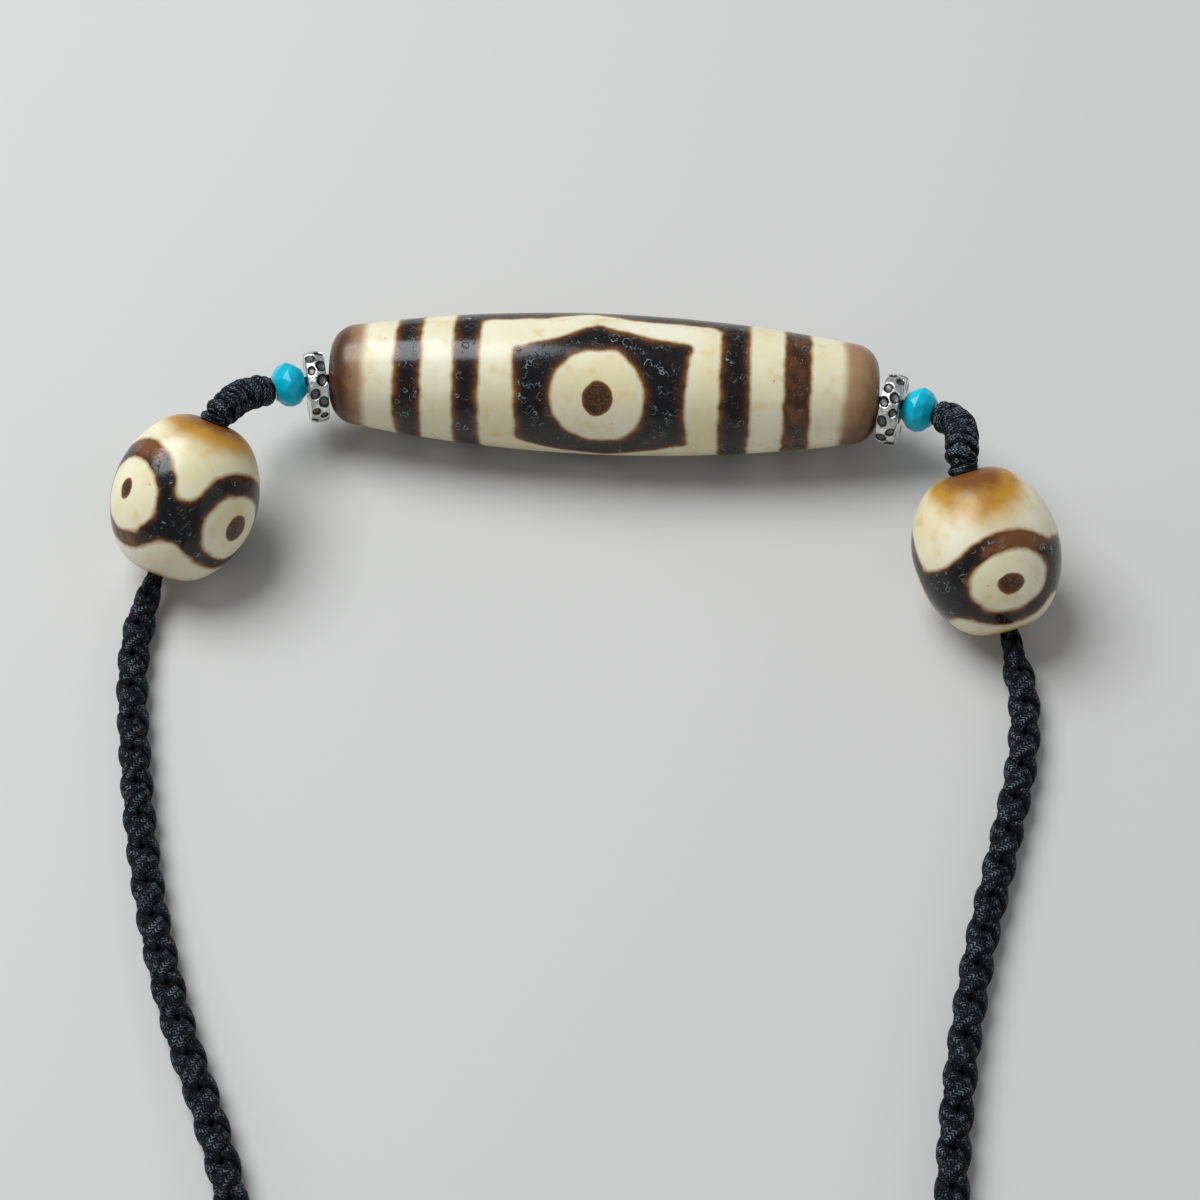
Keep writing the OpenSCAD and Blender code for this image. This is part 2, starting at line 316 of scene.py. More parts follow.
# Camera: the photograph's angle, with its distance and aim fitted to the beads.
view = {
    "azimuth": 2.948,
    "elevation": 55.0,
    "distance": 270.33,
    "aimFromBead": (0.69, -20.97, 0.0),
    "fieldOfView": 24.0,
    "sensor": 36.0,
    "clipStart": 0.01,
}
longMiddle = nodeMiddle("long_dzi_bead")
beadOrigin = np.array([longMiddle[0], longMiddle[1], 0.0])


def makeCamera():
    # back from the aim by the distance, turned by the azimuth and lifted by the elevation
    a, e = math.radians(view["azimuth"]), math.radians(view["elevation"])
    back = Vector((math.sin(a) * math.cos(e), -math.cos(a) * math.cos(e), math.sin(e)))
    data = bpy.data.cameras.new("camera")
    data.sensor_width = view["sensor"]
    data.lens = view["sensor"] / 2 / math.tan(math.radians(view["fieldOfView"] / 2))
    data.clip_start = view["clipStart"]
    camera = newObject("camera", data)
    camera.location = Vector((beadOrigin + view["aimFromBead"]) * mm) + back * view["distance"] * mm
    camera.rotation_euler = (-back).to_track_quat("-Z", "Y").to_euler()
    bpy.context.scene.camera = camera


makeCamera()
print("camera placed")

# The two ends of the chain, as headings and climbs in degrees, outward from the long bead. The
# handles bend a sleeve's line, as shares of the straight way from stone to round bead.
halves = {
    "left": {"sign": -1, "ring": (14, 4), "stone": (22, 4), "sleeveEnd": (52, -8),
             "handles": (0.34, 0.34), "hole": (66, -36)},
    "right": {"sign": 1, "ring": (14, 4), "stone": (22, 6), "sleeveEnd": (82, -27),
              "handles": (0.31, 0.3), "hole": (67, -36)},
}
roundBead = {"length": 15.4, "diameter": 13.8, "sideRadius": 9.5, "endRadius": 4.5,
             "bore": 2.4, "mouth": 3.9, "mouthDepth": 0.5, "mouthGap": 0.45,
             "step": 0.17, "boreStep": 1.2, "around": 250}


def heading(side, key):
    return aim(halves[side]["sign"], *halves[side][key])


def roundAxis(side):
    return heading(side, "hole")


def roundMiddle(side):
    return nodeMiddle(side + "_round_bead")


def lowMouth(side):
    return roundMiddle(side) + roundAxis(side) * roundBead["length"] / 2


# The nylon: fine herringbone yarns on every strand, from the strand's own UV map, with painted glints on the
# yarns' tops and painted shade in the valleys and on each strand's inner side.
nylon = {
    "deep": (0.0016, 0.0019, 0.0026, 1),
    "yarn": (0.003, 0.005, 0.0075, 1),
    "paintedGlintColour": (0.19, 0.25, 0.28, 1),
    "columns": 8,  # columns of V-shaped yarns round a strand
    "pitch": 0.27,  # from yarn to yarn along it
    "lean": 0.9,  # how many yarns a V is deep
    "valleyPower": 5,  # the higher, the narrower the valleys between columns
    "valleyDepth": 0.6,
    "patches": (7.0, 1.3),  # of the painted glint, once round a strand and for each millimetre along it
    "fibreHeight": 0.25,
    "bump": 0.07,
    "bumpStrength": 0.9,
    "reliefMiddle": 0.75,  # the height of a yarn at which its strand keeps its own width
    "paintedGlintStrength": 0.75,
    "specular": 0.08,
}


def yarnGroup():
    # a yarn's height is a half sine along the strand, its phase leaning as a V across each column
    group, given, out = newGroup("herringboneYarn", [("UV", "Vector"), ("Columns", "Float"),
                                                     ("Pitch", "Float"), ("Painted Glint Strength", "Float")])
    u, v = put(group, "SeparateXYZ", {0: given["UV"]}).outputs[:2]
    column = sums("FRACT", times(u, given["Columns"]))
    arm = times(sums("ABSOLUTE", minus(column, 0.5)), 2.0)
    phase = plus(sums("DIVIDE", v, given["Pitch"]), times(arm, nylon["lean"]))
    yarn = sums("ABSOLUTE", sums("SINE", times(phase, math.pi)))
    ridge = minus(1.0, times(sums("POWER", arm, nylon["valleyPower"]), nylon["valleyDepth"]))
    # crown is 1 on the strand's outer side and low on its inner side: painted light outside, painted shade
    # inside
    crown = span(sums("SINE", times(u, 2 * math.pi)), 0.25, 0.95, 0.03, 1.0)
    height = times(yarn, ridge)
    oftenRound, oftenAlong = nylon["patches"]
    cell = nextNode("CombineXYZ", {0: times(u, oftenRound), 1: times(v, oftenAlong)}).outputs[0]
    glintPatch = noise(cell, 1.0, 3.0, 0.6)
    fibre = noise(cell, 9.0, 2.0, 0.7)
    # the painted glint needs a yarn's top, a lit patch, the strand's outer side and a bright fibre
    # lit is the painted highlight mask; where it is high, the glint colour is painted over the yarn
    lit = times(span(height, 0.55, 0.95), span(glintPatch, 0.42, 0.62))
    lit = times(times(lit, crown), span(fibre, 0.3, 0.6))
    lit = times(lit, given["Painted Glint Strength"])
    # painted shade: the darkest colour in the valleys between yarns and on the strand's inner side
    colour = blendColours(times(span(height, 0.1, 0.8), crown), nylon["deep"], nylon["yarn"])
    feed(out, {"Color": blendColours(lit, colour, nylon["paintedGlintColour"]),
               "Roughness": span(fibre, 0.2, 0.8, 0.4, 0.6),
               "Height": plus(height, times(fibre, nylon["fibreHeight"]))})
    return group


herringbone = yarnGroup()


def nylonMaterial(name, yarns):
    material, tree, shader = newMaterial(name)
    place = put(tree, "UVMap", uv_map="strandUv").outputs[0]
    yarn = put(tree, "Group", {"UV": place, "Columns": yarns["columns"], "Pitch": yarns["pitch"],
                               "Painted Glint Strength": yarns["paintedGlintStrength"]}, node_tree=herringbone).outputs
    feed(shader, {"Base Color": yarn["Color"], "Roughness": yarn["Roughness"],
                  "Specular IOR Level": nylon["specular"]})
    addBump(shader, yarn["Height"], nylon["bumpStrength"], yarns["bump"])
    return material


def yarnRelief(u, v, yarns):
    # the same V-shaped yarns as in the material, as a height from 0 to 1
    arm = 2 * np.abs((u * yarns["columns"]) % 1 - 0.5)
    yarn = np.abs(np.sin(np.pi * (v / yarns["pitch"] + arm * nylon["lean"])))
    return yarn * (1 - nylon["valleyDepth"] * arm ** nylon["valleyPower"])


# How a strand closes: each ring's share of its width, and how far past its end it lies.
strandEnd = {"tip": (0.02, 0.12), "shoulder": (0.7, 0.08), "yarnRun": np.array([0.1, 0.2])}


def strand(line, outwardWay, look, size=1.0, run=None):
    # an oval carried along a line: wide across the surface that it lies on, thin away from it
    run = runAlong(line) if run is None else run
    along = unit(np.gradient(line, axis=0))
    up = unit(outwardWay - along * np.sum(outwardWay * along, 1, keepdims=True))
    across = np.cross(along, up)
    turn = onceRound(look["sides"])
    size = np.broadcast_to(size, len(line))[:, None]
    swell = 0.0
    if "relief" in look:
        relief = yarnRelief(turn[None] / (2 * np.pi), run[:, None], look)
        swell = look["relief"] * (relief - nylon["reliefMiddle"])
    wide = (look["halfWidth"] * size + swell) * np.cos(turn)
    high = (look["halfThickness"] * size + swell) * np.sin(turn)
    body = line[:, None] + wide[..., None] * across[:, None] + high[..., None] * up[:, None]

    def closing(end, way, ring):
        # an end's own ring, made smaller and moved past the end
        share, past = strandEnd[ring]
        return line[end] + share * (body[end] - line[end]) + way * past * along[end]

    rings = [closing(0, -1, "tip"), closing(0, -1, "shoulder"), *body,
             closing(-1, 1, "shoulder"), closing(-1, 1, "tip")]
    more = strandEnd["yarnRun"]
    run = np.concatenate([run[0] - more[::-1], run, run[-1] + more])
    points = np.array(rings).reshape(-1, 3)
    return points, gridFaces(len(rings), look["sides"]), gridUv(len(rings), look["sides"], run)


# The braided cord: four strands, two turning each way, that pass over and under each other.
braid = {
    "length": 0.388,
    "diameter": 3.2,
    "neckDiameter": 2.0,
    "reach": 1.0,  # how far it goes into a bead
    "mouthStep": 0.9,  # how far it goes on straight outside
    "grow": 5.5,  # how far from the bead it reaches its full thickness
    "lead": 7.0,  # one turn of a strand
    "middleRadius": 0.8,
    "weave": 0.23,
    "halfWidth": 0.98,
    "halfThickness": 0.5,
    "wander": [(0.05, 3.7, 0), (0.04, 1.9, 1)],  # slow waves of the strands' angle: size, length, start
    "yarnShift": 0.17,  # between the yarns of two strands that turn the same way
    "spacing": 0.36,
    "steps": 16,
    "sides": 12,
    # x and y from the long bead's middle, and how far the cord is lifted
    "route": [
        (-42.3, -25.2, 0.1), (-42.6, -29, 0), (-42.3, -33.5, 0), (-41.2, -40, 0), (-39.2, -49.5, 0),
        (-36.6, -59, 0), (-33.2, -68.5, 0), (-29.4, -77, 0), (-26.4, -85, 0), (-24.8, -93, 0),
        (-24.9, -101.5, 0), (-27, -110.5, 0), (-31, -120, 0), (-36.2, -130, 0), (-40.9, -141, 0),
        (-42.8, -153, 0), (-40.2, -165, 0), (-33, -175.8, 0), (-22.6, -183.2, 0),
        (-11.2, -187.4, 0.6), (-4, -188.6, 1.2), (3, -188.5, 1.2), (10.2, -187, 0.6),
        (21.6, -181.8, 0), (31.8, -172.6, 0), (38.8, -160, 0), (41.5, -146, 0), (40.4, -131.5, 0),
        (37.2, -117.5, 0), (34.2, -104, 0), (32.8, -91.5, 0), (33, -80, 0), (34, -69, 0),
        (35.8, -58, 0), (38.2, -47.5, 0), (40.2, -38, 0), (40.6, -31.5, 0), (40, -27.6, 0.1)],
    "knotEnds": (20, 21),
}


def braidLine():
    # out of one bead's lower hole, along the route on the floor, and into the other bead's
    laid = np.array(braid["route"], float)
    laid[:, 2] += braid["diameter"] / 2
    ends = {side: lowMouth(side) + np.outer([-braid["reach"], braid["mouthStep"]], roundAxis(side))
            for side in halves}
    points = np.vstack([ends["left"], laid + beadOrigin, ends["right"][::-1]])
    return evenly(throughPoints(points, braid["steps"]), braid["spacing"])


def makeBraid():
    # a strand is a helix whose radius rises and falls twice a turn, the two ways in opposite step
    line, run = braidLine()
    side, up = lineFrames(line)[1:]
    fromEnd = np.minimum(run, run[-1] - run) - braid["reach"]
    neck = braid["neckDiameter"] / braid["diameter"]
    size = neck + (1 - neck) * smooth(fromEnd, 0, braid["grow"])
    wander = sum(share * np.sin(run / length + start) for share, length, start in braid["wander"])
    turn = 2 * np.pi * run / braid["lead"]
    parts = []
    for way in (1, -1):
        for k in (0, 1):
            out = spoke(way * (turn + k * np.pi) + wander, side, up)
            radius = (braid["middleRadius"] + way * braid["weave"] * np.cos(2 * turn)) * size
            path = line + radius[:, None] * out
            parts.append(strand(path, out, braid, size, runAlong(path) + braid["yarnShift"] * k))
    material = nylonMaterial("nylonBraid", nylon)
    return makePiece("braided_nylon_cord", parts, "braided_cord", material), line


# The closing knot: one strand wound round the cord as a barrel, hidden at the back of the loop.
knot = {"length": 8.0, "diameter": 5.6, "inner": 3.8, "clearance": 0.15, "turns": 5.5, "halfWidth": 0.76,
        "halfThickness": 0.45, "spacing": 0.2, "sides": 14,
        "tuck": (0.35, 0.08)}  # share of its size that the strand ends with, and where that begins


def makeKnot():
    # a helix whose radius follows the barrel: an arc as large as the barrel is long
    ends = np.array([braid["route"][k] for k in braid["knotEnds"]], float)
    way = unit([*(ends[1] - ends[0])[:2], 0])
    middle = beadOrigin + [*ends.mean(0)[:2], knot["diameter"] / 2]
    t = np.linspace(-1, 1, int(knot["turns"] * math.pi * knot["diameter"] / knot["spacing"]))
    axial = t * (knot["length"] / 2 - knot["halfWidth"])
    barrel = knot["diameter"] / 2 - knot["length"] + np.sqrt(knot["length"] ** 2 - axial ** 2)
    radius = np.maximum(barrel - knot["halfThickness"], knot["inner"] / 2 + knot["clearance"])
    out = spoke(np.pi * knot["turns"] * t, np.cross(way, upright), upright)
    path = middle + axial[:, None] * way + radius[:, None] * out
    least, stretch = knot["tuck"]
    size = least + (1 - least) * smooth(1 - np.abs(t), 0, stretch)
    return makePiece("closing_barrel_knot", [strand(path, out, knot, size)], "closing_knot",
                     nylonMaterial("nylonKnot", nylon))


cordPiece, cordLine = makeBraid()
knotPiece = makeKnot()

# The knotted sleeves: a strand wound rib beside rib round a plain core.
sleeve = {
    "diameter": 3.3,
    "bore": 1.24,
    "core": 2.2,
    "coreSpacing": 0.6,
    "coreSides": 20,
    "stoneThickness": 3.0,
    "gap": 0.2,
    "lead": 1.42,  # from rib to rib
    "halfWidth": 0.6,
    "halfThickness": 0.6,
    "spacing": 0.024,
    "sides": 40,
    "relief": 0.045,
    "columns": 10,
    "pitch": 0.25,
    "bump": 0.06,
    "paintedGlintStrength": 1.6,
    "endShare": 0.86,  # of the winding's size at its ends
    "rounding": 0.9,  # how far from each end the winding is drawn in
    "sway": (0.1, 1.3),  # how far the ribs stray along the sleeve, and how often
    "thinner": (0.05, 2.1),  # how much thinner some ribs are, and how often
    # in the round bead's mouth, with what differs from the rest of the winding
    "lastTurn": {"radius": 0.97, "halfWidth": 0.46, "halfThickness": 0.46, "standOff": 0.3,
                 "steps": 90, "sides": 28},
}


def sleeveLine(side):
    # a cubic curve with a handle at each end, from the stone's hole to the round bead's
    stoneAxis = heading(side, "stone")
    start = nodeMiddle(side + "_turquoise_bead") + stoneAxis * (sleeve["stoneThickness"] / 2 + sleeve["gap"])
    end = roundMiddle(side) - roundAxis(side) * (roundBead["length"] / 2 + roundBead["mouthGap"])
    reach = np.linalg.norm(end - start)
    first, last = halves[side]["handles"]
    handles = [start, start + stoneAxis * first * reach, end - heading(side, "sleeveEnd") * last * reach, end]
    t = np.linspace(0, 1, 200)[:, None]
    weights = [(1 - t) ** 3, 3 * t * (1 - t) ** 2, 3 * t * t * (1 - t), t ** 3]
    return evenly(sum(w * h for w, h in zip(weights, handles)), sleeve["spacing"])


def tube(line, radius, inner, sides):
    # a hollow tube: rings go along the outside and come back along the inside
    side, up = lineFrames(line)[1:]
    ring = spoke(onceRound(sides), side[:, None], up[:, None])
    rings = np.vstack([line[:, None] + radius * ring, (line[:, None] + inner * ring)[::-1]])
    run = np.arange(len(rings)) * 0.5
    return rings.reshape(-1, 3), gridFaces(len(rings), sides, True), gridUv(len(rings), sides, run, True)


def makeSleeve(side, material):
    # a helix round the sleeve's line, and one last turn in the round bead's mouth
    line, run = sleeveLine(side)
    along, across, up = lineFrames(line)
    fromEnd = np.minimum(run, run[-1] - run)
    drawn = sleeve["endShare"] + (1 - sleeve["endShare"]) * smooth(fromEnd, 0, sleeve["rounding"])
    # the first and last turns lie flat, half a strand's width inside the sleeve's ends
    inset = np.clip(fromEnd, sleeve["halfWidth"], None) - fromEnd
    shift = inset * np.where(run < run[-1] / 2, 1, -1)
    sway, often = sleeve["sway"]
    out = spoke(2 * np.pi * (run + sway * np.sin(run * often)) / sleeve["lead"], across, up)
    thinner, often = sleeve["thinner"]
    uneven = 1 - thinner * (0.5 + 0.5 * np.sin(run * often + 1.0))
    radius = (sleeve["diameter"] / 2 - sleeve["halfThickness"] - sleeve["relief"] / 4) * drawn * uneven
    path = line + radius[:, None] * out + shift[:, None] * along
    core = tube(evenly(line, sleeve["coreSpacing"])[0], sleeve["core"] / 2, sleeve["bore"] / 2,
                sleeve["coreSides"])
    parts = [strand(path, out, sleeve, drawn), core]
    # last turn: an open circle round the drilled hole, its ends meeting underneath
    last = {**sleeve, **sleeve["lastTurn"]}
    axis = roundAxis(side)
    angle = np.linspace(np.pi, 3 * np.pi, last["steps"])[1:-1]
    out = spoke(angle, *roundHole(axis))
    middle = roundMiddle(side) - axis * (roundBead["length"] / 2 + last["standOff"])
    parts.append(strand(middle + last["radius"] * out, out, last, run=angle * last["radius"]))
    makePiece(side + "_knotted_cord_sleeve", parts, side + "_knotted_sleeve", material)


sleeveNylon = nylonMaterial("nylonSleeve", sleeve)
for sideName in halves:
    makeSleeve(sideName, sleeveNylon)

# The thread through the beads, two plies twisted together; it shows only in the small gaps.
thread = {
    "sag": (-0.5, -0.2),  # off the long bead's axis along Y and Z where it leaves the hole
    "stoneGap": 0.35,
    "endGap": 0.25,
    "halfWidth": 0.27,
    "halfThickness": 0.27,
    "plyOffset": 0.22,
    "lead": 2.4,
    "spacing": 0.3,
    "sleeveStride": 30,  # how many of the sleeve's points it passes over for each that it takes
    "sides": 10,
    "columns": 2,
    "pitch": 0.3,
    "bump": 0.02,
    "paintedGlintStrength": 0.3,
}


def threadEnd(side):
    # from the long bead's mouth outward, through ring, stone and sleeve, into the round bead
    mouth = longMiddle + [halves[side]["sign"] * nodeSize("long_dzi_bead")[0] / 2, *thread["sag"]]
    bend = nodeMiddle(side + "_turquoise_bead") - heading(side, "stone") * (
        sleeve["stoneThickness"] + thread["stoneGap"]) / 2
    inside = lowMouth(side) - roundAxis(side) * (braid["reach"] + thread["endGap"])
    top = roundMiddle(side) - roundAxis(side) * (roundBead["length"] / 2 - roundBead["mouthDepth"])
    return np.vstack([mouth, bend, sleeveLine(side)[0][::thread["sleeveStride"]], top, inside])


def makeThread():
    # two helices half a turn apart
    line, run = evenly(np.vstack([threadEnd("left")[::-1], threadEnd("right")]), thread["spacing"])
    side, up = lineFrames(line)[1:]
    plies = []
    for k in (0, 1):
        out = spoke(2 * np.pi * run / thread["lead"] + k * np.pi, side, up)
        plies.append(strand(line + thread["plyOffset"] * out, out, thread, run=run))
    makePiece("twisted_thread", plies, "bead_thread", nylonMaterial("nylonThread", thread))


makeThread()


# Agate beads: a turned profile carried round the drilled hole, with the etched pattern as distances.
def beadProfile(bead):
    # side arc and end arcs that touch it, then the worn mouth and the bore wall, as one closed line
    half, endRadius, sideRadius = bead["length"] / 2, bead["endRadius"], bead["sideRadius"]
    sideMiddle = bead["diameter"] / 2 - sideRadius
    lean = math.asin((half - endRadius) / (sideRadius - endRadius))
    endMiddle = sideMiddle + math.sqrt((sideRadius - endRadius) ** 2 - (half - endRadius) ** 2)
    side = arc(0, sideMiddle, sideRadius, 0, lean, 400)
    end = arc(half - endRadius, endMiddle, endRadius, lean, math.pi / 2, 200)[1:]
    end = end[end[:, 1] > bead["mouth"] / 2]
    flat = np.linspace(end[-1], [end[-1, 0], bead["mouth"] / 2], 20)[1:]
    s = np.linspace(0, 1, 40)[1:, None]
    ease = s * s * (3 - 2 * s) * 0.5 + s * 0.5
    mouth = np.hstack([end[-1, 0] - bead["mouthDepth"] * ease,
                       bead["mouth"] / 2 + (bead["bore"] / 2 - bead["mouth"] / 2) * s ** 0.8])
    bore = np.linspace(mouth[-1], [0, bead["bore"] / 2], 60)[1:]
    oneHalf = np.vstack([side, end, flat, mouth, bore])
    loop = np.vstack([oneHalf, (oneHalf * [-1, 1])[-2:0:-1], oneHalf[:1]])
    # rows close together outside and far apart in the bore
    length = np.linalg.norm(np.diff(loop, axis=0), axis=1)
    inBore = loop[:-1, 1] < bead["bore"] / 2 + 0.01
    rank = np.concatenate([[0], np.cumsum(length / np.where(inBore, bead["boreStep"], bead["step"]))])
    at = np.linspace(0, rank[-1], int(rank[-1]))[:-1]
    return np.interp(at, rank, loop[:, 0]), np.interp(at, rank, loop[:, 1])


def beadGrid(bead, middle, axis):
    # points of the turned bead, with how far along the hole, the angle from the top and the radius
    t, r = beadProfile(bead)
    angle = onceRound(bead["around"])
    ring = spoke(angle, *roundHole(axis))
    points = middle + t[:, None, None] * axis + r[:, None, None] * ring
    t, angle, r = np.broadcast_arrays(t[:, None], angle[None, :], r[:, None])
    return points.reshape(-1, 3), gridFaces(len(points), bead["around"], True), t, angle, r


def inPolygon(x, y, corners):
    # distance to the nearest edge of an outline, positive inside it
    nearest = np.full(x.shape, 1e9)
    inside = np.zeros(x.shape, bool)
    for (ax, ay), (bx, by) in zip(corners, corners[1:] + corners[:1]):
        wide, high = bx - ax, by - ay
        share = np.clip(((x - ax) * wide + (y - ay) * high) / (wide ** 2 + high ** 2), 0, 1)
        nearest = np.minimum(nearest, np.hypot(x - ax - share * wide, y - ay - share * high))
        if high:
            inside ^= ((ay > y) != (by > y)) & (x < wide * (y - ay) / high + ax)
    return np.where(inside, nearest, -nearest)


def inOval(x, y, halfX, halfY):
    # distance inside an oval, taken as that in a circle stretched to it
    return (1 - np.hypot(x / halfX, y / halfY)) * min(halfX, halfY)


farOff = -9.0  # a distance well outside every etched shape

longBead = {
    "length": nodeSize("long_dzi_bead")[0],
    "diameter": nodeSize("long_dzi_bead")[2],
    "sideRadius": 150.0,
    "endRadius": 2.6,
    "bore": 2.4,
    "mouth": 3.0,
    "mouthDepth": 0.25,
    "step": 0.2,
    "boreStep": 2.4,
    "around": 256,
    "capStarts": (-23.25, 23.1),
    # the right cap leans by the tilt, deepens more slowly past the knee, and is browner below, as it
    # passes from the first angle round to the second; its brownness starts a little before it
    "rightCap": {"tilt": 0.3, "knee": 0.3, "share": 0.3, "brown": 1.1, "below": (50, 115), "before": 0.5},
    # dark bands: start and end, how much the start moves up over the top, and how brown it is
    "bands": [(-20.25, -17.6, 0.45, 0.1), (-14.42, -11.95, -0.1, 0.05),
              (11.3, 14.15, 0.25, 0.1), (17.5, 20.0, 0.1, 0.62)],
    "endMove": 0.6,  # how much of the start's move a band's end makes
    # eye panel from its middle, along the hole and round it
    "faceAngle": 51.0,
    "panel": [(-8.1, -4.5), (-8.0, -0.5), (-7.7, 5.05), (-3.85, 6.52), (0.6, 7.5), (4.65, 6.02),
              (7.8, 5.05), (7.45, 1.9), (7.4, -0.8), (7.65, -3.2), (8.05, -5.45), (4.35, -5.95),
              (0.55, -7.1), (-0.6, -7.4), (-1.65, -7.1), (-4.0, -5.6)],
    "panelRounding": 0.5,  # the panel is this much larger than its corners say, and round there
    "eye": (-0.38, 0.0, 4.75),
    # how far the eye's edge strays from its circle, by the angle round it
    "eyeEdge": [(0, -0.25), (44, 0.05), (66, 0.25), (112, -0.05), (150, -0.15), (188, -0.08), (234, 0.12),
                (270, -0.05), (289, 0.38), (309, -0.08), (345, -0.2), (360, -0.25)],
    "pupil": (-0.4, 0.05, 1.46, 1.76),
    "stripeMiddle": 10.3,
    "stripeHalf": 1.2,
    "stripeRise": 1.4,
    "stripeCrest": (-1.5, 3.0),  # where the rise is highest, and how wide it is
    "stripeInset": 1.2,  # how far inside the middle bands' outer edges the stripe ends
    "stripeRounding": 1.2,
}


def longPattern(t, angle):
    # bands are spans along the hole; stripes and panels are laid out along the hole and round it
    radius = longBead["diameter"] / 2
    fromFace = angle - math.radians(longBead["faceAngle"])
    towardsEye = wrapped(fromFace) * radius
    upTop = 0.5 - 0.5 * np.cos(fromFace)
    bands = longBead["bands"]
    dark = np.full(t.shape, farOff)
    brown = np.zeros(t.shape)
    for start, end, move, brownness in bands:
        within = np.minimum(t - start - move * upTop, end - move * longBead["endMove"] * upTop - t)
        brown = np.where(within > dark, brownness, brown)
        dark = np.maximum(dark, within)
    crest, width = longBead["stripeCrest"]
    rise = longBead["stripeRise"] * np.exp(-(((t - crest) / width) ** 2))
    offStripe = np.abs(np.abs(towardsEye) - longBead["stripeMiddle"] - rise)
    inset = longBead["stripeInset"]
    ends = np.minimum(t - bands[1][0] - inset, bands[2][1] - inset - t)
    dark = softMax(dark, np.minimum(longBead["stripeHalf"] - offStripe, ends), longBead["stripeRounding"])
    # the eye in its panel, at the front and once more at the back
    pupil = np.full(t.shape, farOff)
    eyeX, eyeY, eyeRadius = longBead["eye"]
    pupilX, pupilY, *pupilHalves = longBead["pupil"]
    for x, y in ((t, towardsEye), (-t, wrapped(fromFace - np.pi) * radius)):
        about = np.degrees(np.arctan2(y - eyeY, x - eyeX)) % 360
        edge = eyeRadius + np.interp(about, *np.array(longBead["eyeEdge"], float).T)
        panel = inPolygon(x, y, longBead["panel"]) + longBead["panelRounding"]
        dark = np.maximum(dark, np.minimum(panel, np.hypot(x - eyeX, y - eyeY) - edge))
        pupil = np.maximum(pupil, inOval(x - pupilX, y - pupilY, *pupilHalves))
    low, high = longBead["capStarts"]
    right = longBead["rightCap"]
    inward = t - high - right["tilt"] * np.cos(angle)
    cap = np.maximum(low - t, np.minimum(inward, right["knee"] + inward * right["share"]))
    below = smooth(np.degrees(np.abs(wrapped(angle))), *right["below"])
    brown = np.where(inward > -right["before"], right["brown"] * below, brown)
    return dark, pupil, cap, brown


# Each round bead's eyes: along the hole, degrees round it from the top, and their half sizes, then
# the pupil's place and half sizes. A dark ring surrounds each eye, by how much wider it is than the
# eye and how far along it is moved, and a belt from its first to its second place joins the rings.
# The cap is a spot at the upper mouth: how far off the hole, at which angle, and its radius. It is
# deeper in colour just inside its edge by capRim. Brown marks the places where the dark is worn:
# along the hole, degrees round it, half sizes and how brown.
roundPatterns = {
    "left": {
        "eyes": [((1.1, 27, 3.5, 3.75), (0.8, 28, 1.05, 0.75)),
                 ((0.8, -76, 3.25, 3.75), (0.72, -76, 1.3, 1.25)),
                 ((0.8, 155, 3.4, 3.7), (0.8, 156, 1.2, 1.2))],
        "ring": (1.55, -0.35),
        "belt": (-0.3, 3.95),
        "cap": (0.6, -27, 4.45),
        "capRim": 0.0,
        "brown": [(-4.4, 30, 3.0, 5.0, 1.0), (4.9, 32, 2.2, 5.0, 0.6), (-4.3, -72, 1.7, 5.5, 0.6)],
    },
    "right": {
        "eyes": [((2.75, 6, 2.8, 4.0), (3.0, 6, 0.95, 1.35)),
                 ((0.9, 124, 3.4, 3.6), (0.9, 124, 1.2, 1.2)),
                 ((0.9, -112, 3.4, 3.6), (0.9, -112, 1.2, 1.2))],
        "ring": (1.5, -0.25),
        "belt": (0.15, 5.1),
        "cap": (2.3, 4, 4.2),
        "capRim": 0.3,
        "brown": [(-0.6, -18, 2.4, 7.0, 1.0)],
    },
}
roundEtching = {
    "rounding": 1.1,  # of the creases where rings and belt meet
    "leastCap": (3.1, 2.9),  # radius of the cap at the upper and at the lower mouth
    "rim": (0.35, 0.4),  # how far inside the cap's edge its rim lies, and how wide it is
    "brownEdge": 0.6,
}


def roundPattern(side, t, angle, r):
    # an eye's dark surround is an oval round it; the belt is a span along the hole
    pattern = roundPatterns[side]

    def beside(degrees):
        return wrapped(angle - math.radians(degrees)) * r

    margin, lower = pattern["ring"]
    beltLow, beltHigh = pattern["belt"]
    dark = np.minimum(t - beltLow, beltHigh - t)
    eye = np.full(t.shape, farOff)
    pupil = np.full(t.shape, farOff)
    for (at, about, halfT, halfRound), (pupilAt, pupilAbout, *pupilHalves) in pattern["eyes"]:
        surround = inOval(t - at - lower, beside(about), halfT + margin, halfRound + margin)
        dark = softMax(dark, surround, roundEtching["rounding"])
        eye = np.maximum(eye, inOval(t - at, beside(about), halfT, halfRound))
        pupil = np.maximum(pupil, inOval(t - pupilAt, beside(pupilAbout), *pupilHalves))
    dark = np.minimum(dark, -eye)
    capOffset, capAngle, capRadius = pattern["cap"]
    away = wrapped(angle - math.radians(capAngle))
    fromSpot = np.sqrt(np.maximum(r * r + capOffset ** 2 - 2 * r * capOffset * np.cos(away), 0))
    upperCap, lowerCap = roundEtching["leastCap"]
    cap = np.where(t < 0, np.maximum(capRadius - fromSpot, upperCap - r), lowerCap - r)
    brown = np.zeros(t.shape)
    for at, about, halfT, halfRound, share in pattern["brown"]:
        near = 1 - np.hypot((t - at) / halfT, beside(about) / halfRound)
        brown = np.maximum(brown, share * smooth(near, 0, roundEtching["brownEdge"]))
    inside, width = roundEtching["rim"]
    rim = pattern["capRim"] * np.exp(-(((cap - inside) / width) ** 2))
    return dark, pupil, cap, np.maximum(brown, rim)


